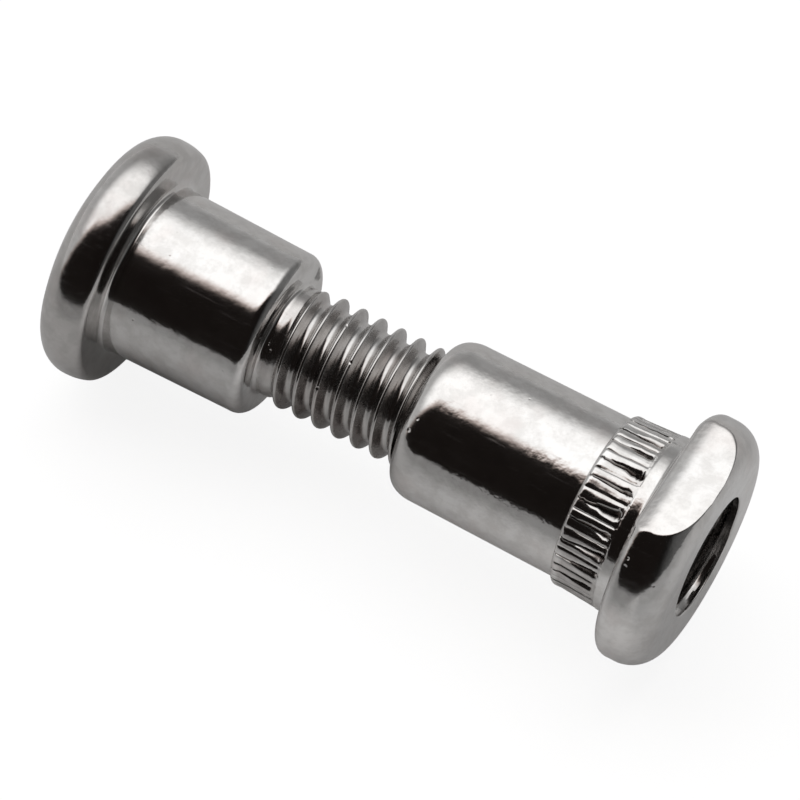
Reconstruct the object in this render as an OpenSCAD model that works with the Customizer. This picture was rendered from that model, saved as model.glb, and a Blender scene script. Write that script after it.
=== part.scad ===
// Two-piece seatpost clamp bolt: a socket-head screw and the flanged sleeve nut it draws in.
// Millimetres. The bolt lies along X with the screw head at -X, and rests on Z = 0.

/* [Screw head] */
// Outer diameter of the screw head
head_d = 11.9; // [11:0.1:13]
// Height of the domed top above the rim
head_dome_h = 0.6; // [0.4:0.05:0.8]
// Radius of the domed top
head_dome_r = 13; // [11:0.5:16]
// Radius of the rim's upper edge
head_rim_r = 1.35; // [1:0.05:1.5]
// Height of the straight part of the rim
head_band_h = 0.1; // [0.05:0.05:0.4]
// Height of the crowned part of the rim, down to the seat
head_crown_h = 1.1; // [0.8:0.05:1.4]
// Radius of the rim's crown
head_crown_r = 2.5; // [2:0.1:4]
// Radius of the rim's edge at the seat
head_edge_r = 0.25; // [0.15:0.05:0.4]
// Width of the hex socket across its flats
key_af = 5; // [4:0.5:5]
// Depth of the hex socket's straight walls
key_depth = 3.2; // [2.5:0.1:4]

/* [Shoulder] */
// Diameter of the shoulder at the head
shoulder_d = 8.2; // [7.8:0.05:8.6]
// Diameter of the shoulder at its free end
shoulder_end_d = 7.98; // [7.6:0.02:8.2]
// Length of the shoulder
shoulder_l = 7.2; // [5:0.1:12]
// Radius of the shoulder's free edge
shoulder_edge_r = 0.6; // [0.3:0.05:0.8]
// Radius of the fillets at the shoulder's root and at the neck
root_r = 0.22; // [0.1:0.02:0.3]

/* [Thread] */
// Outer diameter of the thread
thread_d = 5.76; // [5.6:0.02:5.98]
// Pitch of the thread
thread_pitch = 1; // [0.75:0.25:1]
// Radial depth of the thread
thread_depth = 0.54; // [0.4:0.02:0.6]
// Axial width of the thread's rounded root
thread_root_w = 0.4; // [0.3:0.02:0.44]
// Axial width of the thread's rounded crest
thread_crest_w = 0.18; // [0.12:0.02:0.24]
// Diameter of the plain neck between shoulder and thread
neck_d = 5.34; // [5.2:0.02:5.5]
// Length of the plain neck
neck_l = 0.9; // [0.7:0.1:1.5]
// Length from the shoulder's free end to the tip
shank_l = 14; // [13:0.1:14.4]
// Height of the chamfer on the tip
tip_h = 0.5; // [0.3:0.1:0.8]
// Angle that the thread's start is turned by
thread_turn = -101.25; // [-180:11.25:180]

/* [Sleeve nut] */
// Diameter of the sleeve at its free end
sleeve_d = 7.72; // [7.5:0.02:8]
// Diameter of the sleeve at the serrated band
sleeve_root_d = 7.82; // [7.6:0.02:8.1]
// Length of the plain sleeve
sleeve_l = 8.6; // [6:0.1:12]
// Radius of the sleeve's free edge
sleeve_edge_r = 0.7; // [0.4:0.05:0.75]
// Diameter over the serrations at the sleeve
band_d = 8.34; // [8.3:0.02:8.6]
// Diameter over the serrations at the head
band_root_d = 8.6; // [8.5:0.02:8.9]
// Length of the serrated band
band_l = 2.5; // [1.5:0.1:4]
// Length of the plain ring between the serrations and the head
ring_l = 0.55; // [0.4:0.05:1]
// Outer diameter of the nut's head
nut_head_d = 11.9; // [11:0.1:13]
// Height of the nut's head
nut_head_h = 2.65; // [2.4:0.05:3.5]
// Radius of the nut head's edge at its face
nut_face_r = 1.6; // [1:0.05:1.7]
// Radius of the nut head's edge at its seat
nut_edge_r = 0.65; // [0.4:0.05:0.7]
// Width across the two flats of the nut's head
flat_af = 10; // [9.8:0.1:10.6]

/* [Serrations] */
// Number of wide grooves in the serrated band
groove_count = 26; // [20:1:30]
// Depth of a wide groove at the head end
groove_depth = 0.28; // [0.2:0.02:0.4]
// Depth of a wide groove at the sleeve end
groove_start_depth = 0.08; // [0.06:0.02:0.16]
// Depth of the narrow crease along each tooth
crease_depth = 0.12; // [0.06:0.02:0.18]
// Opening angle of a groove
groove_angle = 84; // [60:2:100]

/* [Fit] */
// Radial clearance between the thread's crest and the nut's bore
thread_clearance = 0.05; // [0.02:0.01:0.1]
// Gap between shoulder and sleeve as the pieces lie
open_gap = 7.5; // [2:0.1:11]

/* [Hidden] */
head_r = head_d / 2;
head_h = head_dome_h + head_rim_r + head_band_h + head_crown_h;
shoulder_r = shoulder_d / 2;
shoulder_end_r = shoulder_end_d / 2;
neck_r = neck_d / 2;
thread_r = thread_d / 2;
bore_r = thread_r + thread_clearance;
bore_edge = 0.12;
nut_r = nut_head_d / 2;
seat_z = sleeve_l + band_l + ring_l;
nut_l = seat_z + nut_head_h;
neck_z = head_h + shoulder_l;
nut_z = neck_z + open_gap;
total_l = nut_z + nut_l;
axis_h = max(head_d, nut_head_d) / 2;

// where the dome runs into the rim's upper edge, this many degrees round that edge
dome_at = 72;
dome_r = head_r - head_rim_r * (1 - cos(dome_at));
dome_z = head_dome_h + head_rim_r * (1 - sin(dome_at));
dome_c = dome_z + sqrt(head_dome_r * head_dome_r - dome_r * dome_r);
dome_past = 0.18;
dome_reach = dome_r + dome_past;

// how far the rim's crown draws in at distance h from its widest ring
function crown_in(h) = head_crown_r - sqrt(head_crown_r * head_crown_r - h * h);

// the edge at the seat starts this far outside the crown and crosses it
edge_past = 0.01;
edge_r = head_r - crown_in(head_crown_h - head_edge_r) + edge_past;

// straight length beside a rounded edge or a fillet, and the share of the band's step that is rounded
land = 0.15;
shoulder_land = root_r + land;
shoulder_end_land = shoulder_edge_r + land;
sleeve_land = sleeve_edge_r + land;
band_edge_share = 0.8;
band_edge_r = (band_d - sleeve_root_d) / 2 * band_edge_share;
band_land = band_edge_r + land;

// helical grid of the thread: steps to a turn, and places across one pitch with their share of the depth
turn_n = 32;
crest_at = thread_pitch / 2;
crest_side = 0.9;
root_side = 0.21;
root_flat_share = 0.35;
root_flat_w = thread_root_w * root_flat_share;
across = [
    root_flat_w / 2,
    thread_root_w / 2,
    crest_at - thread_crest_w / 2,
    crest_at,
    crest_at + thread_crest_w / 2,
    thread_pitch - thread_root_w / 2,
    thread_pitch - root_flat_w / 2
];
share = [0, root_side, crest_side, 1, crest_side, root_side, 0];
across_n = len(across);

// the thread's core starts this far inside the neck, and the thread rises over this length
rod_in = 0.05;
rod_r = neck_r - rod_in;
rod_root = 0.4;
run_share = 0.8;
run_l = run_share * thread_pitch;
grid_z = neck_l - rod_root / 2;
turns = floor((shank_l - tip_h - grid_z) / thread_pitch) - 1;
grid_n = turns * turn_n;
rod_end = shank_l - tip_h;
tip_slope = 0.8;
tip_r = rod_r - tip_h * tip_slope;

// chamfered mouth and drilled bottom of the hex socket
mouth_h = 0.25;
mouth_in = 0.1;
drill_in = 0.05;
drill_r = key_af / 2 - drill_in;
drill_tip_r = 0.2;
drill_lean = 24;
drill_h = (drill_r - drill_tip_r) * tan(drill_lean);

// the grooves start this far before the band, stand this far out of it and vary by this share
groove_lead = 0.3;
groove_past = 0.03;
uneven = 0.1;
uneven_turn = 97;

corner_past = 0.4;
join = 0.01;
overshoot = 1;
smooth = 96;

function unit(v) = v / norm(v);

// the region between corner b of an outline and the arc of radius r that rounds it
module corner(a, b, c, r) {
    u = unit(a - b);
    v = unit(c - b);
    w = unit(u + v);
    half = acos(u * v) / 2;
    t = r / tan(half);
    m = b + w * r / sin(half);
    difference() {
        polygon([b + u * t, b - w * r * corner_past, b + v * t, m]);
        translate(m) circle(r = r, $fn = smooth);
    }
}

// the region outside the crown of the screw head's rim
module rim_crown() {
    m = [head_r - head_crown_r, head_h - head_crown_h];
    difference() {
        polygon([
            [head_r, m[1]],
            [head_r + overshoot, head_h + overshoot],
            [head_r - head_crown_h, head_h + overshoot],
            m
        ]);
        translate(m) circle(r = head_crown_r, $fn = smooth);
    }
}

// the round that leaves a fillet in the square block at an inner corner
module hollow(c) {
    translate(c) circle(r = root_r, $fn = smooth);
}

// half section of the screw without its thread: [radius, distance from the head's top]
module screw_section() {
    outline = [
        [0, head_dome_h],
        [head_r, head_dome_h],
        [head_r, head_h],
        [shoulder_r + root_r, head_h],
        [shoulder_r + root_r, head_h + root_r],
        [shoulder_r, head_h + root_r],
        [shoulder_r, head_h + shoulder_land],
        [shoulder_end_r, neck_z - shoulder_end_land],
        [shoulder_end_r, neck_z],
        [neck_r + root_r, neck_z],
        [neck_r + root_r, neck_z + root_r],
        [neck_r, neck_z + root_r],
        [neck_r, neck_z + neck_l],
        [0, neck_z + neck_l]
    ];
    difference() {
        polygon(outline);
        hollow(outline[4]);
        hollow(outline[10]);
        corner(outline[0], outline[1], outline[2], head_rim_r);
        rim_crown();
        corner([0, head_h], [edge_r, head_h], [edge_r, 0], head_edge_r);
        corner(outline[7], outline[8], outline[9], shoulder_edge_r);
    }
    intersection() {
        translate([0, dome_c]) circle(r = head_dome_r, $fn = smooth * 4);
        square([dome_reach, head_dome_h + head_rim_r]);
    }
}

// hex socket with a chamfered mouth and a cone at its bottom, open towards -Z
module key_socket() {
    corner_r = key_af / 2 / cos(30);
    translate([0, 0, -overshoot])
        linear_extrude(height = key_depth + overshoot)
            circle(r = corner_r, $fn = 6);
    translate([0, 0, key_depth - join])
        cylinder(h = drill_h, r1 = drill_r, r2 = drill_tip_r, $fn = smooth);
    translate([0, 0, -overshoot])
        cylinder(
            h = mouth_h + mouth_in + overshoot,
            r1 = key_af / 2 + mouth_h + overshoot,
            r2 = key_af / 2 - mouth_in,
            $fn = smooth
        );
}

// how far the thread has risen at height z: none at the neck and at the tip, all in between
function risen(z) = max(0, min(1, (z - neck_l) / run_l, (rod_end - z) / run_l));
function grid_height(i, k) = grid_z + thread_pitch * i / turn_n + across[k];
function grid_radius(z, k) = rod_r + (thread_r - thread_depth * (1 - share[k]) - rod_r) * risen(z);
function at(r, i, z) = [r * cos(360 * i / turn_n), r * sin(360 * i / turn_n), z];

// threaded shank from inside the neck to the chamfered tip, its z measured from the shoulder's end
module thread_rod() {
    grid = [
        for (i = [0 : grid_n], k = [0 : across_n - 1])
            let (z = grid_height(i, k)) at(grid_radius(z, k), i, z)
    ];
    low = [for (j = [0 : turn_n - 1]) at(rod_r, j, neck_l - rod_root)];
    high = [for (j = [0 : turn_n - 1]) at(rod_r, j, rod_end)];
    tip = [for (j = [0 : turn_n - 1]) at(tip_r, j, shank_l)];
    low_0 = len(grid);
    high_0 = low_0 + turn_n;
    tip_0 = high_0 + turn_n;
    last = across_n - 1;
    top = grid_n - turn_n;

    function g(i, k) = i * across_n + k;
    function lo(j) = low_0 + j % turn_n;
    function hi(j) = high_0 + j % turn_n;
    function ti(j) = tip_0 + j % turn_n;
    function quad(a, b, c, d) = [[a, c, b], [a, d, c]];

    sides = [
        for (i = [0 : grid_n - 1], k = [0 : last - 1])
            each quad(g(i, k), g(i + 1, k), g(i + 1, k + 1), g(i, k + 1))
    ];
    roots = [
        for (i = [0 : top - 1])
            each quad(g(i, last), g(i + 1, last), g(i + 1 + turn_n, 0), g(i + turn_n, 0))
    ];
    start = [for (j = [0 : turn_n - 2]) each quad(lo(j), lo(j + 1), g(j + 1, 0), g(j, 0))];
    start_seam = concat([lo(0)], [for (k = [0 : last]) g(0, k)], [g(turn_n, 0), g(turn_n - 1, 0)]);
    start_fan = [for (k = [0 : len(start_seam) - 2]) [lo(turn_n - 1), start_seam[k + 1], start_seam[k]]];
    end = [
        for (j = [1 : turn_n - 1])
            each quad(g(top + j, last), g(top + j + 1, last), hi(j + 1), hi(j))
    ];
    end_seam = concat([hi(1), hi(0)], [for (k = [0 : last]) g(grid_n, last - k)], [g(top, last)]);
    end_fan = [for (k = [0 : len(end_seam) - 2]) [g(top + 1, last), end_seam[k + 1], end_seam[k]]];
    chamfer = [for (j = [0 : turn_n - 1]) each quad(hi(j), hi(j + 1), ti(j + 1), ti(j))];
    low_cap = [[for (j = [0 : turn_n - 1]) lo(j)]];
    tip_cap = [[for (j = [0 : turn_n - 1]) ti(turn_n - 1 - j)]];
    polyhedron(
        points = concat(grid, low, high, tip),
        faces = concat(sides, roots, start, start_fan, end, end_fan, chamfer, low_cap, tip_cap),
        convexity = 10
    );
}

// half section of the nut round its bore: [radius, distance from the sleeve's free end]
module nut_section() {
    outline = [
        [bore_r, 0],
        [sleeve_d / 2, 0],
        [sleeve_d / 2, sleeve_land],
        [sleeve_root_d / 2, sleeve_l],
        [band_d / 2, sleeve_l],
        [band_d / 2, sleeve_l + band_land],
        [band_root_d / 2, sleeve_l + band_l],
        [band_root_d / 2, seat_z - root_r],
        [band_root_d / 2 + root_r, seat_z - root_r],
        [band_root_d / 2 + root_r, seat_z],
        [nut_r, seat_z],
        [nut_r, nut_l],
        [bore_r, nut_l]
    ];
    difference() {
        polygon(outline);
        hollow(outline[8]);
        corner(outline[0], outline[1], outline[2], sleeve_edge_r);
        corner(outline[3], outline[4], outline[5], band_edge_r);
        corner(outline[9], outline[10], outline[11], nut_edge_r);
        corner(outline[10], outline[11], outline[12], nut_face_r);
        corner(outline[11], outline[12], outline[0], bore_edge);
    }
}

// V-groove along the serrated band, its bottom sloping between two depths
module groove(depth_a, depth_b) {
    z_a = sleeve_l - groove_lead;
    z_b = sleeve_l + band_l;
    r_a = band_d / 2 - depth_a;
    r_b = band_root_d / 2 - depth_b;
    lean = atan((r_b - r_a) / (z_b - z_a));
    reach = depth_b + groove_past;
    wide = reach * tan(groove_angle / 2);
    translate([r_a, 0, z_a])
        rotate([0, lean, 0])
            linear_extrude(height = norm([r_b - r_a, z_b - z_a]))
                polygon([[0, 0], [reach, wide], [reach, -wide]]);
}

module serrations() {
    step = 360 / groove_count;
    for (i = [0 : groove_count - 1]) {
        deep = 1 - uneven + uneven * sin(uneven_turn * i);
        rotate([0, 0, (i + 0.5) * step]) groove(groove_start_depth * deep, groove_depth * deep);
        rotate([0, 0, i * step]) groove(crease_depth * deep, crease_depth * deep);
    }
}

// the two flats of the nut's head, with a rounded edge along the seat
module flats() {
    edge = [flat_af / 2, seat_z];
    for (side = [0, 180])
        rotate([0, 0, side]) {
            translate([flat_af / 2, -nut_head_d, seat_z - overshoot])
                cube([nut_head_d, nut_head_d * 2, nut_head_h + 2 * overshoot]);
            rotate([90, 0, 0])
                linear_extrude(height = nut_head_d, center = true)
                    corner(edge - [overshoot, 0], edge, edge + [0, overshoot], nut_edge_r);
        }
}

// turns a piece built along Z so that it lies along X at rest on Z = 0, centred over the origin
module lie() {
    translate([-total_l / 2, 0, axis_h]) rotate([0, 90, 0]) children();
}

module screw() {
    color([0.72, 0.71, 0.69])
        lie()
            union() {
                difference() {
                    rotate_extrude($fn = smooth) screw_section();
                    key_socket();
                }
                translate([0, 0, neck_z]) rotate([0, 0, thread_turn]) thread_rod();
            }
}

module sleeve_nut() {
    color([0.74, 0.73, 0.71])
        lie()
            translate([0, 0, nut_z])
                difference() {
                    rotate_extrude($fn = smooth) nut_section();
                    flats();
                    serrations();
                }
}

screw();
sleeve_nut();
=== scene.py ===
"""Looks of a two-piece seatpost clamp bolt in bright nickel plate: a shouldered screw and its serrated sleeve nut.

Shapes are worked out in millimetres and turned into metres when a mesh is made. Along the bolt, x runs from the
screw's head to the nut's face. An angle round the bolt starts at the bottom and turns right-handed about +X.
"""

import math

import bmesh
import bpy
from mathutils import Matrix, Vector


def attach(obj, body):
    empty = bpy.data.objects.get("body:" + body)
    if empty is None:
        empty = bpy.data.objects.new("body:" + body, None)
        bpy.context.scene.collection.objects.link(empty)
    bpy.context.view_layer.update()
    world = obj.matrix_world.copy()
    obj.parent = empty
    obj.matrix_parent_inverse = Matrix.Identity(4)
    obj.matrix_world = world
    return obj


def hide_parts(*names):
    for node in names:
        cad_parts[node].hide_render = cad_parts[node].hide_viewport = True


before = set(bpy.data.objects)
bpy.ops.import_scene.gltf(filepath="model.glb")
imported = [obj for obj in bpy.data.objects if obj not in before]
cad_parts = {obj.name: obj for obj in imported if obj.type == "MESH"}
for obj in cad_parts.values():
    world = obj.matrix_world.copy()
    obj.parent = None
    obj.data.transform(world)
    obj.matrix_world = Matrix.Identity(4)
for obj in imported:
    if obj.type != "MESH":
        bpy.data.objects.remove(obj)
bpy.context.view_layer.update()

MM = 0.001
AXIS_Z = 5.95
HEAD_X = -16.075

# screw
HEAD_R = 5.95
DOME_H = 0.6
DOME_R = 13.0
DOME_AT = math.radians(72)
RIM_R = 1.35
RIM_BAND = 0.1
CROWN_R = 2.5
CROWN_H = 1.1
HEAD_EDGE = 0.4
HEAD_FILM = 0.14
HEAD_H = DOME_H + RIM_R + RIM_BAND + CROWN_H
KEY_FLAT = 2.5
KEY_DEPTH = 3.2
KEY_MOUTH = 2.75
KEY_EDGE = 0.05
KEY_LIP = 0.03
DRILL_R = KEY_FLAT - KEY_EDGE
DRILL_H = 1.0
SHOULDER_R = 4.1
SHOULDER_END_R = 3.99
SHOULDER_L = 7.2
SHOULDER_EDGE = 0.6
ROOT_R = 0.22
LAND = 0.15
NECK_R = 2.67
NECK_L = 0.9
THREAD_R = 2.88
THREAD_DEPTH = 0.54
THREAD_CREST = 0.1
THREAD_ROOT = 0.28
THREAD_FLANK = 64.5
THREAD_START = 0.7
THREAD_FILM = 0.18
# painted shade: the thread's flanks darker than its crest and valley, and darker still on the bolt's lower side
FLANK_SHADE = 0.22
UNDERSIDE_SHADE = 0.6
THREAD_TURN = -101.25
SHANK_L = 14.0
TIP_H = 0.5
TIP_IN = 0.45
RUN_L = 0.8
RUN_IN_BEFORE = 0.4
RUN_IN_AFTER = 0.35
NECK_Z = HEAD_H + SHOULDER_L

# nut
NUT_X = HEAD_X + NECK_Z + 7.5
SLEEVE_R = 3.86
SLEEVE_ROOT_R = 3.91
SLEEVE_L = 8.6
SLEEVE_EDGE = 0.7
SLEEVE_EDGE_L = 1.15
BAND_R = 4.17
BAND_ROOT_R = 4.3
BAND_L = 2.5
BAND_EDGE = 0.208
SEAT_Z = 11.65
NUT_R = 5.95
NUT_L = 14.3
NUT_EDGE = 0.65
NUT_FACE_EDGE = 1.6
FLAT = 5.0
FLAT_EDGE = 0.28
FLAT_SOFT = 0.06
FLAT_BEVEL = 1.0
FLAT_BLEND = 0.55
FLAT_LEAN = math.radians(20)
BORE_R = 2.93
BORE_EDGE = 0.06
BORE_CHAMFER = 0.12
HOLE_START = 0.35
HOLE_END = 0.08
HOLE_TURN = 0.75
GROOVES = 26
GROOVE_COLS = 16
GROOVE_DEPTH = 0.28
GROOVE_START = 0.1
GROOVE_END = 0.26
CREASE_DEPTH = 0.06
GROOVE_BLUNT = 0.16
RIPPLE = 0.03
# painted shade on the serrated band's lower side and in its groove bottoms by their depth; the lands darken a
# little with their uneven ripple
BAND_UNDERSIDE_SHADE = 0.35
FULL_SHADE_DROP = 0.18
FULL_DARK_RIPPLE = 0.22
GROOVE_SLOPE = math.tan(math.radians(42))
NUT_COLS = GROOVES * GROOVE_COLS
SCREW_COLS = 144

# plate: clean metal, a brown tint that also serves as painted shade, marks, and heights of its relief in metres
SCREW_METAL = (0.708, 0.7, 0.691)
NUT_METAL = (0.713, 0.705, 0.696)
# brown tint colour; where the mesh asks for it in recesses and on the lower side it is painted shade
TINT_AND_SHADE_COLOUR = (0.12, 0.096, 0.087, 1)
SCAR_COLOUR = (0.06, 0.05, 0.045, 1)
SCREW_PEEL = 0.000007
NUT_PEEL = 0.000014
WAVE_H = 0.00001
GRAIN_H = 0.000002
PIT_H = 0.000006
NICK_H = 0.000024

# nicks in the plate: x, y, z and radius; a scar is also dark
SCREW_DENTS = [
    (-2.79, 0.35, 8.8, 0.13),
    (-1.66, -1.13, 8.59, 0.11),
    (-5.44, -1.79, 7.93, 0.09),
    (-5.27, -1.98, 7.74, 0.1),
]
SCREW_SCARS = [
    (-5.74, 3.08, 7.6, 0.22),
    (-5.73, 2.97, 7.48, 0.24),
    (-5.73, 3.09, 7.29, 0.24),
    (-5.73, 2.85, 7.38, 0.24),
    (-5.73, 2.98, 7.17, 0.24),
    (-5.73, 3.11, 6.96, 0.22),
    (-2.54, -2.43, 7.48, 0.11),
]
NUT_DENTS = [
    (13.95, -4.4, 9.98, 0.11),
    (13.97, -4.67, 9.68, 0.16),
    (2.44, -2.38, 8.97, 0.1),
    (2.25, -2.82, 8.5, 0.15),
    (12.79, 1.99, 9.7, 0.24),
]

# the room lies square to the camera, which looks at the bolt from its near right
ROOM_TURN = math.radians(24.9)
ROOM_RIGHT = (math.cos(ROOM_TURN), math.sin(ROOM_TURN), 0)
ROOM_AWAY = (-math.sin(ROOM_TURN), math.cos(ROOM_TURN), 0)


def smoothstep(a, b, v):
    t = min(1.0, max(0.0, (v - a) / (b - a)))
    return t * t * (3 - 2 * t)


def soft_min(a, b, k):
    h = max(k - abs(a - b), 0.0) / k
    return min(a, b) - h * h * k / 4


def arc(z, r, radius, start, end, n):
    """Points (z, r) on an arc; an angle of 0 points along +r and 90 along +z."""
    turn = [math.radians(start + (end - start) * i / n) for i in range(n + 1)]
    return [(z + radius * math.sin(t), r + radius * math.cos(t)) for t in turn]


class Skin:
    """Rings of points round the bolt's axis, bridged into one surface; each point also carries its share of a
    brown tint, which on the thread's flanks and lower side, in the serrated band and in the bore is painted shade.
    """

    def __init__(self, x0):
        self.x0 = x0
        self.points = []
        self.faces = []
        self.tint_and_shade = []

    def add(self, z, r, turn, tint_and_shade=0.0):
        self.points.append((self.x0 + z, r * math.sin(turn), AXIS_Z - r * math.cos(turn)))
        self.tint_and_shade.append(tint_and_shade)
        return len(self.points) - 1

    def bridge(self, a, b):
        """Faces between two rings of as many points; returns the second ring."""
        n = len(a)
        for i in range(n):
            j = (i + 1) % n
            self.faces.append((a[i], a[j], b[j], b[i]))
        return b

    def pole(self, z, ring):
        centre = self.add(z, 0.0, 0.0)
        n = len(ring)
        for i in range(n):
            self.faces.append((centre, ring[i], ring[(i + 1) % n]))

    def helix(self, n, z_from, z_to, phase, places, radius, tint_and_shade):
        """A grid along a helix of 1 mm pitch between two level rings; returns its first and last ring."""
        k = len(places)
        low = math.floor(z_from - phase(0.0)) - 3
        high = math.ceil(z_to - phase(0.0)) + 2
        rows = [m + u for m in range(low, high + 1) for u in places]
        grid = []
        for i in range(n):
            turn = 2 * math.pi * i / n
            column = []
            for q, row in enumerate(rows):
                z = min(z_to, max(z_from, row + phase(turn)))
                u = places[q % k]
                column.append(self.add(z, radius(z, u), turn, tint_and_shade(z, u, turn)))
            grid.append(column)
        count = len(rows)
        for i in range(n):
            shift = 0 if i < n - 1 else k
            here, there = grid[i], grid[(i + 1) % n]
            for q in range(count - 1 - shift):
                self.faces.append((here[q], there[q + shift], there[q + shift + 1], here[q + 1]))
        return [c[0] for c in grid], [c[-1] for c in grid]

    def mesh(self, name, sharp):
        bm = bmesh.new()
        layer = bm.verts.layers.float.new("tint_and_shade")
        made = []
        for p, s in zip(self.points, self.tint_and_shade):
            v = bm.verts.new(p)
            v[layer] = s
            made.append(v)
        for f in self.faces:
            ring = [made[i] for i in dict.fromkeys(f)]
            bm.faces.new(ring)
        bmesh.ops.remove_doubles(bm, verts=bm.verts, dist=2e-5)
        bmesh.ops.dissolve_degenerate(bm, dist=2e-5, edges=bm.edges)
        bmesh.ops.recalc_face_normals(bm, faces=bm.faces)
        bmesh.ops.scale(bm, vec=(MM, MM, MM), verts=bm.verts)
        data = bpy.data.meshes.new(name)
        bm.to_mesh(data)
        bm.free()
        data.polygons.foreach_set("use_smooth", [True] * len(data.polygons))
        data.set_sharp_from_angle(angle=math.radians(sharp))
        obj = bpy.data.objects.new(name, data)
        bpy.context.scene.collection.objects.link(obj)
        return obj


def even(n):
    return [2 * math.pi * i / n for i in range(n)]


def turned(skin, profile, turns, last=None, tint_and_shade=0.0):
    """Rings for the points (z, r) of a turned profile, bridged to the ring before; returns the last ring."""
    for z, r in profile:
        ring = [skin.add(z, r, t, tint_and_shade) for t in turns]
        if last is not None:
            last = skin.bridge(last, ring)
    return last


def hex_r(turn):
    """Distance from the axis to the wall of the hex socket."""
    sixth = math.pi / 3
    return KEY_FLAT / math.cos((turn % sixth) - sixth / 2)


def underside(turn):
    """How far a place round the bolt belongs to its lower side, from 0 to 1."""
    return smoothstep(0.15, 0.6, 0.5 + 0.5 * math.cos(turn))


def thread_places():
    """Places across one pitch with the radius there: round valley at 0, flanks, round crest at 0.5."""
    table = {}
    for step in range(4):
        t = math.radians(THREAD_FLANK * step / 3)
        valley = THREAD_R - THREAD_DEPTH + THREAD_ROOT * (1 - math.cos(t))
        crest = THREAD_R - THREAD_CREST * (1 - math.cos(t))
        table[THREAD_ROOT * math.sin(t)] = valley
        if step > 0:
            table[1 - THREAD_ROOT * math.sin(t)] = valley
        table[0.5 - THREAD_CREST * math.sin(t)] = crest
        table[0.5 + THREAD_CREST * math.sin(t)] = crest
    return dict(sorted(table.items()))


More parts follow.
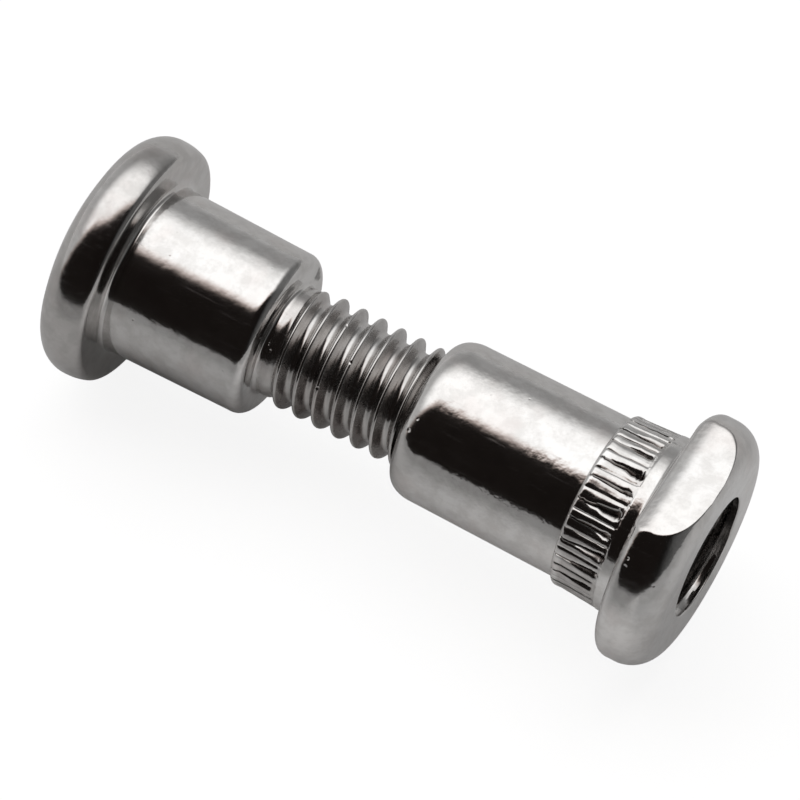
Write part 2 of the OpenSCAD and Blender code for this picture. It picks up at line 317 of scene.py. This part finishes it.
def make_screw():
    skin = Skin(HEAD_X)
    turns = even(SCREW_COLS)

    first = [skin.add(KEY_DEPTH + DRILL_H * 0.92, 0.25, t) for t in turns]
    skin.pole(KEY_DEPTH + DRILL_H, first)
    cone = [(KEY_DEPTH + DRILL_H * 0.45, DRILL_R * 0.5), (KEY_DEPTH, DRILL_R)]
    last = turned(skin, cone, turns, first)
    walls = [(KEY_DEPTH, KEY_EDGE), (KEY_DEPTH - KEY_EDGE, 0.0), (KEY_DEPTH * 0.6, 0.0), (0.4, 0.0)]
    for z, inset in walls:
        ring = [skin.add(z, hex_r(t) - inset, t) for t in turns]
        last = skin.bridge(last, ring)
    for rise in (KEY_LIP, 0.0):
        ring = [skin.add(max(0.0, KEY_MOUTH - hex_r(t)) + rise * 1.2, hex_r(t), t) for t in turns]
        last = skin.bridge(last, ring)
    ring = [skin.add(0.0, max(KEY_MOUTH, hex_r(t) + KEY_LIP), t) for t in turns]
    last = skin.bridge(last, ring)

    dome_r = HEAD_R - RIM_R * (1 - math.cos(DOME_AT))
    dome_z = DOME_H + RIM_R * (1 - math.sin(DOME_AT))
    dome_c = dome_z + math.sqrt(DOME_R ** 2 - dome_r ** 2)
    flat_r = math.sqrt(DOME_R ** 2 - dome_c ** 2)
    top = [(0.0, flat_r - 0.03), (0.002, flat_r + 0.03)]
    for i in range(1, 9):
        r = flat_r + (dome_r - flat_r) * i / 9
        top.append((dome_c - math.sqrt(DOME_R ** 2 - r * r), r))
    rim_z = DOME_H + RIM_R
    top += arc(rim_z, HEAD_R - RIM_R, RIM_R, -70, 0, 16)
    top += [(rim_z + RIM_BAND * 0.5, HEAD_R)]
    crown_r = HEAD_R - CROWN_R
    crown_at = math.asin((CROWN_H - HEAD_EDGE) / (CROWN_R - HEAD_EDGE))
    edge_r = crown_r + (CROWN_R - HEAD_EDGE) * math.cos(crown_at)
    top += arc(rim_z + RIM_BAND, crown_r, CROWN_R, 0, math.degrees(crown_at), 10)
    top += arc(HEAD_H - HEAD_EDGE, edge_r, HEAD_EDGE, math.degrees(crown_at) + 8, 90, 9)
    top += [(HEAD_H, edge_r - 0.3), (HEAD_H, SHOULDER_R + ROOT_R + 0.25)]
    last = turned(skin, top, turns, last, HEAD_FILM)
    top = arc(HEAD_H + ROOT_R, SHOULDER_R + ROOT_R, ROOT_R, -90, -180, 8)
    end_z = NECK_Z - SHOULDER_EDGE
    taper = [HEAD_H + ROOT_R + LAND, end_z - LAND]
    top += [(taper[0], SHOULDER_R)]
    for i in range(1, 8):
        s = i / 8
        z = taper[0] + (taper[1] - taper[0]) * s
        top.append((z, SHOULDER_R + (SHOULDER_END_R - SHOULDER_R) * s))
    top += [(taper[1], SHOULDER_END_R)]
    top += arc(end_z, SHOULDER_END_R - SHOULDER_EDGE, SHOULDER_EDGE, 0, 90, 12)
    top += [(NECK_Z, NECK_R + ROOT_R + 0.2)]
    top += arc(NECK_Z + ROOT_R, NECK_R + ROOT_R, ROOT_R, -90, -180, 8)
    last = turned(skin, top, turns, last)

    table = thread_places()
    places = list(table)
    rod_end = SHANK_L - TIP_H

    def risen(z):
        run_in = smoothstep(NECK_L - RUN_IN_BEFORE, NECK_L + RUN_IN_AFTER, z)
        return run_in * (1 - smoothstep(rod_end - RUN_L, rod_end, z))

    def radius(z, u):
        local = z - NECK_Z
        return NECK_R + (table[u] - NECK_R) * risen(local)

    def tint_and_shade(z, u, turn):
        from_valley = min(u, 1 - u)
        flank = smoothstep(0.08, 0.2, from_valley) * (1 - smoothstep(0.4, 0.46, from_valley))
        # flanks darkened, most on the lower side: painted shade
        painted_shade = FLANK_SHADE + UNDERSIDE_SHADE * underside(turn)
        return THREAD_FILM + painted_shade * flank * risen(z - NECK_Z)

    def phase(turn):
        return NECK_Z + THREAD_START + (math.degrees(turn) - THREAD_TURN) / 360

    z_from, z_to = NECK_Z + ROOT_R + 0.1, NECK_Z + rod_end
    start, end = skin.helix(SCREW_COLS, z_from, z_to, phase, places, radius, tint_and_shade)
    skin.bridge(last, start)
    tip_r = NECK_R - TIP_IN
    tip = [(NECK_Z + rod_end + 0.02, NECK_R - 0.01), (NECK_Z + SHANK_L - 0.04, tip_r + 0.04)]
    tip += [(NECK_Z + SHANK_L, tip_r - 0.03), (NECK_Z + SHANK_L, tip_r * 0.4)]
    last = turned(skin, tip, turns, end)
    skin.pole(NECK_Z + SHANK_L, last)
    return skin.mesh("screw_plated", 40)


def jitter(a, b=0.0):
    """A fixed irregular value from -1 to 1 for a pair of numbers."""
    s = math.sin(a * 12.9898 + b * 78.233 + 1.7) * 43758.5453
    return 2 * (s - math.floor(s)) - 1


def groove_turns(width, crease, along_band):
    """Angles of the columns in the serrated band, from the half widths in radians of each groove and crease."""
    half = math.pi / GROOVES
    lip = 0.011
    out = []
    for p in range(GROOVES):
        w, c = width(p), crease(p)
        land = half - w - lip - c - lip
        side = [0.0, max(c - lip, c * 0.5), c + lip, c + lip + land * 0.33, c + lip + land * 0.67]
        side += [half - w - lip, half - max(w - lip, w * 0.6), half - w * 0.4]
        mirror = [2 * half - a for a in side[:0:-1]]
        for a in side + [half] + mirror:
            s = a / (2 * half)
            sway = 0.016 * jitter(p, 3) + 0.022 * jitter(p, 23) * (along_band - 0.5)
            shift = sway * math.sin(math.pi * s)
            shift += 0.014 * (jitter(p, 5) * (1 - s) + jitter((p + 1) % GROOVES, 5) * s)
            shift += 0.009 * jitter(p, 41 + along_band) * math.sin(math.pi * s)
            out.append(2 * half * p + a + shift)
    return out


def groove_drop(k, depth, crease):
    """How far column k of a groove lies below the band's crest."""
    k = min(k, GROOVE_COLS - k)
    share = (1.0, 0.55, 0.0, 0.0, 0.0, 0.0, 0.2, 0.62, 1.0)[k]
    return share * (crease if k < 3 else depth)


def uneven(p, kind):
    """Depth of a groove or crease against the full one: the solid's even swing and a rougher one."""
    return (0.9 + 0.1 * math.sin(math.radians(97 * p))) * (0.95 + 0.3 * jitter(p, kind))


def head_turns(corner):
    """Angles of the columns in the nut's head, with a column on each end of the two flats."""
    quarter = NUT_COLS // 4
    on_flat = quarter // 3
    side = [corner * i / on_flat for i in range(on_flat)]
    side += [corner + (math.pi / 2 - corner) * i / (quarter - on_flat) for i in range(quarter - on_flat)]
    half = side + [math.pi / 2] + [math.pi - a for a in side[:0:-1]]
    return half + [math.pi + a for a in half]


def from_flat(turn):
    """Angle from the nearer flat's own direction."""
    a = turn % math.pi
    return min(a, math.pi - a)


def make_nut():
    skin = Skin(NUT_X)
    turns = even(NUT_COLS)

    outer = [(0.0, BORE_R + BORE_CHAMFER), (0.0, (BORE_R + SLEEVE_R - SLEEVE_EDGE) / 2)]
    for i in range(17):
        t = math.radians(90 * i / 16)
        outer.append((SLEEVE_EDGE_L * (1 - math.cos(t)), SLEEVE_R - SLEEVE_EDGE * (1 - math.sin(t))))
    land = SLEEVE_EDGE_L + LAND
    for i in range(9):
        s = i / 9
        outer.append((land + (SLEEVE_L - land) * s, SLEEVE_R + (SLEEVE_ROOT_R - SLEEVE_R) * s))
    outer += [(SLEEVE_L - 0.12, SLEEVE_ROOT_R), (SLEEVE_L - 0.03, SLEEVE_ROOT_R)]
    outer += [(SLEEVE_L, SLEEVE_ROOT_R + 0.03)]
    first = [skin.add(outer[0][0], outer[0][1], t) for t in turns]
    last = turned(skin, outer[1:], turns, first)

    def crest(z):
        if z < SLEEVE_L + BAND_EDGE:
            inset = SLEEVE_L + BAND_EDGE - z
            return BAND_R - BAND_EDGE + math.sqrt(max(0.0, BAND_EDGE ** 2 - inset ** 2))
        s = min(1.0, max(0.0, (z - SLEEVE_L - BAND_EDGE - LAND) / (BAND_L - BAND_EDGE - LAND)))
        return BAND_R + (BAND_ROOT_R - BAND_R) * s

    def blunt(z, p, kind):
        """How much of a groove's depth is left at z, with a round end short of the plain ring."""
        end = SLEEVE_L + BAND_L - GROOVE_END + 0.09 * jitter(p, kind)
        past = min(1.0, max(0.0, (z - end + GROOVE_BLUNT) / GROOVE_BLUNT))
        return math.sqrt(1 - past * past)

    def depth_at(z, p):
        s = (z - SLEEVE_L + 0.3) / (BAND_L + 0.3)
        bottom = BAND_R - GROOVE_START + (BAND_ROOT_R - GROOVE_DEPTH - BAND_R + GROOVE_START) * s
        rough = 1 + 0.16 * jitter(p, 51 + z)
        return max(0.0, crest(z) - bottom) * uneven(p, 7) * blunt(z, p, 11) * rough

    def crease_at(z, p):
        full = CREASE_DEPTH
        if z < SLEEVE_L + BAND_EDGE:
            full = max(0.0, crest(z) - BAND_R + CREASE_DEPTH)
        return full * uneven(p, 13) * blunt(z, p, 17)

    near_start = (0.012, 0.04, 0.08, 0.12, 0.165, 0.208, 0.3, 0.5, 0.8, 1.1, 1.4, 1.7, 1.9)
    near_end = (-0.5, -0.42, -0.37, -0.33, -0.29, -0.25, -0.21, -0.17, -0.1, 0.0, 0.12, 0.22)
    rows = [SLEEVE_L + v for v in near_start] + [SLEEVE_L + BAND_L + v for v in near_end]
    for n, z in enumerate(rows):
        r = crest(z)
        grooved = 6 < n < 20
        here = groove_turns(
            lambda p: max(0.016, depth_at(z, p) * GROOVE_SLOPE / r),
            lambda p: max(0.014, crease_at(z, p) * GROOVE_SLOPE / r),
            (z - SLEEVE_L) / BAND_L,
        )
        ring = []
        for i, t in enumerate(here):
            p, k = divmod(i, GROOVE_COLS)
            drop = groove_drop(k, depth_at(z, p), crease_at(z, p))
            tilt = (k / GROOVE_COLS - 0.5) * jitter(p, 19) + jitter(i, n) * 0.3
            ripple = RIPPLE * (0.8 + tilt) if grooved else 0.0
            # painted shade: groove bottoms darker by their depth and the band darker on its lower side; lands
            # darken a little with their ripple
            tint_and_shade_mix = ripple / FULL_DARK_RIPPLE + (BAND_UNDERSIDE_SHADE * underside(t) if grooved else 0.0)
            tint_and_shade_mix = min(1.0, max(drop / FULL_SHADE_DROP, tint_and_shade_mix))
            ring.append(skin.add(z, r - drop - ripple, t, tint_and_shade_mix))
        last = skin.bridge(last, ring)
    root = arc(SEAT_Z - ROOT_R, BAND_ROOT_R + ROOT_R, ROOT_R, 180, 90, 8)
    last = turned(skin, root, turns, last)

    def head_ring(z, rim, flat, floor_r=0.0):
        corner = math.acos(flat / rim) if rim > flat * 1.0125 else 0.157
        ring = []
        for t in head_turns(corner):
            r = soft_min(rim, flat / max(0.05, math.cos(from_flat(t))), FLAT_SOFT)
            ring.append(skin.add(z, max(r, floor_r), t))
        return ring

    def flat_in(h):
        """How far a flat lies in at height h over the seat: a rounded edge, then a slow curve."""
        turn_h = FLAT_EDGE * (1 - math.sin(FLAT_LEAN))
        if h >= turn_h:
            below = max(0.0, FLAT_BEVEL - h)
            level = below - FLAT_BLEND / 2 if below > FLAT_BLEND else below ** 2 / (2 * FLAT_BLEND)
            return level * math.tan(FLAT_LEAN)
        past = math.sqrt(FLAT_EDGE ** 2 - (FLAT_EDGE - h) ** 2)
        return flat_in(turn_h) + FLAT_EDGE * math.cos(FLAT_LEAN) - past

    for i in range(13):
        t = math.radians(90 * i / 12)
        inset = NUT_EDGE * (1 - math.sin(t))
        h = NUT_EDGE * (1 - math.cos(t))
        floor_r = BAND_ROOT_R + ROOT_R + 0.004 + 0.006 * i
        ring = head_ring(SEAT_Z + h, NUT_R - inset, FLAT - flat_in(h), floor_r)
        last = skin.bridge(last, ring)
    face_z = NUT_L - NUT_FACE_EDGE
    for h in (0.72, 0.79, 0.86, 0.93, FLAT_BEVEL, (FLAT_BEVEL + face_z - SEAT_Z) / 2):
        ring = head_ring(SEAT_Z + h, NUT_R, FLAT - flat_in(h))
        last = skin.bridge(last, ring)
    for i in range(25):
        t = math.radians(90 * i / 24)
        rim = NUT_R - NUT_FACE_EDGE * (1 - math.cos(t))
        ring = head_ring(face_z + NUT_FACE_EDGE * math.sin(t), rim, FLAT)
        last = skin.bridge(last, ring)
    mouth = [(NUT_L, 3.9), (NUT_L, BORE_R + BORE_EDGE + 0.2)]
    mouth += arc(NUT_L - BORE_EDGE, BORE_R + BORE_EDGE, BORE_EDGE, 90, 180, 6)
    last = turned(skin, mouth, turns, last)

    inner = {0.0: 0.0, 0.15: 0.035, 0.3: 0.08, 0.45: 0.17, 0.6: 0.3, 0.75: 0.17, 0.9: 0.03}
    z_from, z_to = HOLE_START, NUT_L - HOLE_END

    def cut(z):
        return smoothstep(z_from, z_from + 0.5, z) * (1 - smoothstep(z_to - 0.12, z_to, z))

    def radius(z, u):
        return BORE_R + inner[u] * cut(z)

    # painted shade in the bore: its thread's grooves much darker than the crest that leans to the mouth
    def tint_and_shade(z, u, turn):
        return 0.55 if u > 0.4 else 0.1

    def phase(turn):
        return turn / (2 * math.pi) + HOLE_TURN

    start, end = skin.helix(NUT_COLS, z_from, z_to, phase, list(inner), radius, tint_and_shade)
    skin.bridge(last, end)
    ring = [skin.add(BORE_CHAMFER, BORE_R, t) for t in turns]
    skin.bridge(start, ring)
    skin.bridge(ring, first)
    return skin.mesh("sleeve_nut_plated", 40)


def node(tree, kind, inputs=None, **settings):
    """A node with its settings and with sockets set to values or linked to other sockets."""
    made = tree.nodes.new(kind)
    for key, value in settings.items():
        setattr(made, key, value)
    for key, value in (inputs or {}).items():
        if isinstance(value, bpy.types.NodeSocket):
            tree.links.new(value, made.inputs[key])
        else:
            made.inputs[key].default_value = value
    return made


def plate_material(name, base, seed, peel, dents, scars=()):
    """Bright nickel plate: faint stains, a brown tint by each mesh point's share, used as painted shade in the
    recesses and on the lower side, soft waves, pits and fine rubbing marks.

    peel is the height of the plate's small ripples in metres. dents and scars are single nicks, each
    (x, y, z, radius); a scar is also dark.
    """
    mat = bpy.data.materials.new(name)
    mat.use_nodes = True
    tree = mat.node_tree
    tree.nodes.clear()
    place = node(tree, "ShaderNodeTexCoord").outputs["Object"]
    tint_and_shade = node(tree, "ShaderNodeAttribute", attribute_name="tint_and_shade").outputs["Fac"]
    moved = node(tree, "ShaderNodeMapping", {"Vector": place, "Location": (seed, seed * 2, seed * 3)})
    shift = moved.outputs["Vector"]

    def noise(scale, detail, rough=0.5):
        return node(
            tree, "ShaderNodeTexNoise", {"Vector": shift, "Scale": scale, "Detail": detail, "Roughness": rough}
        ).outputs["Fac"]

    def ramp(value, low, high, out_low, out_high):
        return node(
            tree,
            "ShaderNodeMapRange",
            {"Value": value, "From Min": low, "From Max": high, "To Min": out_low, "To Max": out_high},
        ).outputs["Result"]

    def mix(factor, a, b):
        made = node(tree, "ShaderNodeMix", data_type="RGBA")
        for socket, value in ((made.inputs[0], factor), (made.inputs[6], a), (made.inputs[7], b)):
            if isinstance(value, bpy.types.NodeSocket):
                tree.links.new(value, socket)
            else:
                socket.default_value = value
        return made.outputs[2]

    def tone(red, green, blue):
        return (base[0] * red, base[1] * green, base[2] * blue, 1)

    def bump(height, distance, before=None):
        inputs = {"Height": height, "Strength": 1.0, "Distance": distance}
        if before is not None:
            inputs["Normal"] = before
        return node(tree, "ShaderNodeBump", inputs).outputs[0]

    def near_any(places):
        found = 0.0
        for x, y, z, radius in places:
            centre = (x * MM, y * MM, z * MM)
            apart = node(tree, "ShaderNodeVectorMath", {0: place, 1: centre}, operation="DISTANCE")
            hit = smooth_ramp(tree, apart.outputs["Value"], 0.2 * radius * MM, radius * MM, 1, 0)
            found = maths(tree, "MAXIMUM", found, hit)
        return found

    scarred = near_any(scars)
    nicks = maths(tree, "MAXIMUM", near_any(dents), scarred)
    cells = node(tree, "ShaderNodeTexVoronoi", {"Vector": shift, "Scale": 1100.0})
    chosen = ramp(cells.outputs["Color"], 0.58, 0.66, 0, 1)
    pits = maths(tree, "MULTIPLY", ramp(cells.outputs["Distance"], 0.03, 0.08, 1, 0), chosen)
    slant = {"Vector": shift, "Rotation": (0.3, 0.5, 0.9), "Scale": (450, 8000, 8000)}
    rub_way = node(tree, "ShaderNodeMapping", slant).outputs["Vector"]
    rub = node(tree, "ShaderNodeTexNoise", {"Vector": rub_way, "Scale": 1.0, "Detail": 1.0})
    rubbed = ramp(rub.outputs["Fac"], 0.62, 0.72, 0, 1)

    colour = mix(ramp(noise(260, 3), 0.35, 0.65, 0, 1), (*base, 1), tone(1.0, 0.988, 0.978))
    colour = mix(ramp(noise(1300, 4, 0.65), 0.42, 0.62, 0, 0.8), colour, tone(0.83, 0.82, 0.81))
    colour = mix(ramp(noise(520, 3), 0.54, 0.68, 0, 0.3), colour, tone(0.82, 0.75, 0.735))
    # the mesh's share of brown tint darkens the metal; on the flanks, lower side, groove bottoms and bore this is
    # painted shade
    tint_and_shade_mix = maths(tree, "MULTIPLY", tint_and_shade, ramp(noise(900, 2), 0.3, 0.7, 0.7, 1))
    colour = mix(tint_and_shade_mix, colour, TINT_AND_SHADE_COLOUR)
    colour = mix(maths(tree, "MULTIPLY", pits, 0.16), colour, tone(0.5, 0.45, 0.42))
    colour = mix(maths(tree, "MULTIPLY", scarred, 0.85), colour, SCAR_COLOUR)

    roughness = maths(tree, "ADD", ramp(noise(420, 4), 0.3, 0.7, 0.09, 0.14), ramp(tint_and_shade, 0, 0.5, 0, 0.14))
    roughness = maths(tree, "ADD", roughness, maths(tree, "MULTIPLY", rubbed, 0.07))
    waves = bump(noise(1000, 2), WAVE_H)
    patchy = maths(tree, "MULTIPLY", noise(2600, 2), ramp(noise(330, 2), 0.42, 0.58, 0.3, 1))
    grain = bump(noise(3600, 3, 0.65), GRAIN_H, bump(patchy, peel, waves))
    pitted = bump(maths(tree, "SUBTRACT", 1.0, pits), PIT_H, grain)
    worn = bump(maths(tree, "SUBTRACT", 1.0, nicks), NICK_H, pitted)
    shader = node(
        tree,
        "ShaderNodeBsdfPrincipled",
        {"Base Color": colour, "Metallic": 1.0, "Roughness": roughness, "Normal": worn},
    )
    node(tree, "ShaderNodeOutputMaterial", {"Surface": shader.outputs[0]})
    return mat


def smooth_ramp(tree, value, low, high, out_low, out_high):
    """A socket that goes smoothly from one value to another as its input goes from low to high."""
    return node(
        tree,
        "ShaderNodeMapRange",
        {"Value": value, "From Min": low, "From Max": high, "To Min": out_low, "To Max": out_high},
        interpolation_type="SMOOTHSTEP",
    ).outputs["Result"]


def blend(tree, factor, a, b):
    """A socket between a and b, each a value or a socket."""
    return node(tree, "ShaderNodeMix", {0: factor, 2: a, 3: b}, data_type="FLOAT").outputs[0]


def maths(tree, operation, a, b):
    return node(tree, "ShaderNodeMath", {0: a, 1: b}, operation=operation).outputs[0]


def along(tree, vector, way):
    return node(tree, "ShaderNodeVectorMath", {0: vector, 1: way}, operation="DOT_PRODUCT").outputs["Value"]


def make_floor():
    """Pale paper, white where the camera sees it; what it shows in reflections is painted light and shade:
    brightest in front of the sleeve with a painted glow there and behind the bolt, and dim far in front.
    """
    half = 3.0
    corners = [(-half, -half, 0), (half, -half, 0), (half, half, 0), (-half, half, 0)]
    data = bpy.data.meshes.new("floor")
    data.from_pydata(corners, [], [(0, 1, 2, 3)])
    floor = bpy.data.objects.new("floor", data)
    bpy.context.scene.collection.objects.link(floor)
    mat = bpy.data.materials.new("floor_paper")
    mat.use_nodes = True
    tree = mat.node_tree
    shader = tree.nodes["Principled BSDF"]
    seen = node(tree, "ShaderNodeLightPath").outputs["Is Camera Ray"]
    place = node(tree, "ShaderNodeNewGeometry").outputs["Position"]
    depth = along(tree, place, ROOM_AWAY)
    across = along(tree, place, ROOM_RIGHT)
    # painted light and shade for reflections: in front of the bolt the paper is brighter right of the middle, dims
    # far to the right and far in front; behind it is plain
    side = smooth_ramp(tree, across, -0.012, 0.006, 0.86, 1.34)
    side = maths(tree, "MULTIPLY", side, smooth_ramp(tree, across, 0.009, 0.017, 1, 0.72))
    front = maths(tree, "MULTIPLY", side, smooth_ramp(tree, depth, -0.04, -0.002, 0.58, 0.86))
    paper_light_and_shade = blend(tree, smooth_ramp(tree, depth, -0.004, 0.01, 0, 1), front, 0.8)
    grey = blend(tree, seen, paper_light_and_shade, 0.3)
    colour = node(tree, "ShaderNodeCombineColor", {"Red": grey, "Green": grey, "Blue": grey})
    # painted glow: the paper shines near the bolt's front right and behind it, though it is no lamp
    near = smooth_ramp(tree, depth, -0.004, 0.006, 1, 0)
    near_right = maths(tree, "MULTIPLY", near, smooth_ramp(tree, across, -0.006, 0.012, 0.02, 0.08))
    glow = maths(tree, "ADD", near_right, smooth_ramp(tree, depth, 0.004, 0.03, 0.03, 0.09))
    glow = blend(tree, seen, glow, 0.88)
    tree.links.new(colour.outputs[0], shader.inputs["Base Color"])
    shader.inputs["Roughness"].default_value = 0.9
    shader.inputs["Specular IOR Level"].default_value = 0.1
    shader.inputs["Emission Color"].default_value = (1, 1, 1, 1)
    tree.links.new(glow, shader.inputs["Emission Strength"])
    data.materials.append(mat)


def make_light():
    """A wide soft light overhead and behind the bolt, and a dark, slightly warm room on the near side."""
    bright = 1.45
    warm, white = (1.25, 1, 0.9, 1), (1, 1, 1, 1)
    world = bpy.data.worlds.new("studio")
    bpy.context.scene.world = world
    world.use_nodes = True
    tree = world.node_tree
    tree.nodes.clear()
    way = node(tree, "ShaderNodeTexCoord").outputs["Generated"]
    away = along(tree, way, ROOM_AWAY)
    right = along(tree, way, ROOM_RIGHT)
    height = along(tree, way, (0, 0, 1))
    not_right = smooth_ramp(tree, right, 0.3, 0.68, 1, 0)
    left = smooth_ramp(tree, right, -0.9, 0.0, 0.38, 0.18)
    side = maths(tree, "ADD", left, maths(tree, "MULTIPLY", not_right, 0.18))
    wall = maths(tree, "ADD", side, smooth_ramp(tree, height, 0.0, 0.2, 0.14, 0.0))
    overhead = maths(tree, "MULTIPLY", smooth_ramp(tree, height, 0.42, 0.87, 0, 1), not_right)
    lit = blend(tree, overhead, wall, bright)
    dark = smooth_ramp(tree, right, 0.4, 0.9, 0.008, 0.12)
    from_dark = maths(tree, "SUBTRACT", away, smooth_ramp(tree, right, -0.15, 0.4, 0, 0.2))
    clear = smooth_ramp(tree, from_dark, -0.22, 0.03, 0, 1)
    room = blend(tree, clear, dark, lit)
    cool = maths(tree, "MAXIMUM", clear, smooth_ramp(tree, right, 0.2, 0.6, 0, 1))
    seen = node(tree, "ShaderNodeLightPath").outputs["Is Camera Ray"]
    cool = maths(tree, "MAXIMUM", cool, seen)
    tint = node(tree, "ShaderNodeMix", {0: cool, 6: warm, 7: white}, data_type="RGBA").outputs[2]
    level = blend(tree, seen, room, 0.95)
    back = node(tree, "ShaderNodeBackground", {"Color": tint, "Strength": level})
    node(tree, "ShaderNodeOutputWorld", {"Surface": back.outputs[0]})


def make_camera():
    """The photograph's view: 201 mm away, the bolt leaning 13.7 degrees to the viewer and falling to the right."""
    lean, roll, turn = math.radians(13.684), math.radians(27.23), math.radians(58.3)
    focal_px, distance = 4485.6, 200.9
    off_right, off_down = -0.025, -0.064
    sensor_mm, image_px = 36, 800
    target = Vector((0.375, 0.0, AXIS_Z))
    axis = Vector((1, 0, 0))
    upper = Vector((0, math.sin(turn), math.cos(turn)))
    near = Vector((0, -math.cos(turn), math.sin(turn)))
    level_right = axis * math.cos(lean) - near * math.sin(lean)
    back = axis * math.sin(lean) + near * math.cos(lean)
    right = level_right * math.cos(roll) + upper * math.sin(roll)
    up = upper * math.cos(roll) - level_right * math.sin(roll)
    place = target + back * distance - right * off_right + up * off_down
    data = bpy.data.cameras.new("camera")
    data.sensor_width = sensor_mm
    data.lens = focal_px * sensor_mm / image_px
    data.clip_start = 0.01
    camera = bpy.data.objects.new("camera", data)
    turn_to = Matrix((right, up, back)).transposed().to_4x4()
    camera.matrix_world = Matrix.Translation(place * MM) @ turn_to
    bpy.context.scene.collection.objects.link(camera)
    bpy.context.scene.camera = camera


screw = make_screw()
screw_plate = plate_material("screw_nickel", SCREW_METAL, 0.3, SCREW_PEEL, SCREW_DENTS, SCREW_SCARS)
screw.data.materials.append(screw_plate)
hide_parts("screw")
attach(screw, "screw")

nut = make_nut()
nut.data.materials.append(plate_material("nut_nickel", NUT_METAL, 0.7, NUT_PEEL, NUT_DENTS))
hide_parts("sleeve_nut")
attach(nut, "nut")

make_floor()
make_light()
make_camera()
bpy.context.scene.view_settings.view_transform = "Standard"
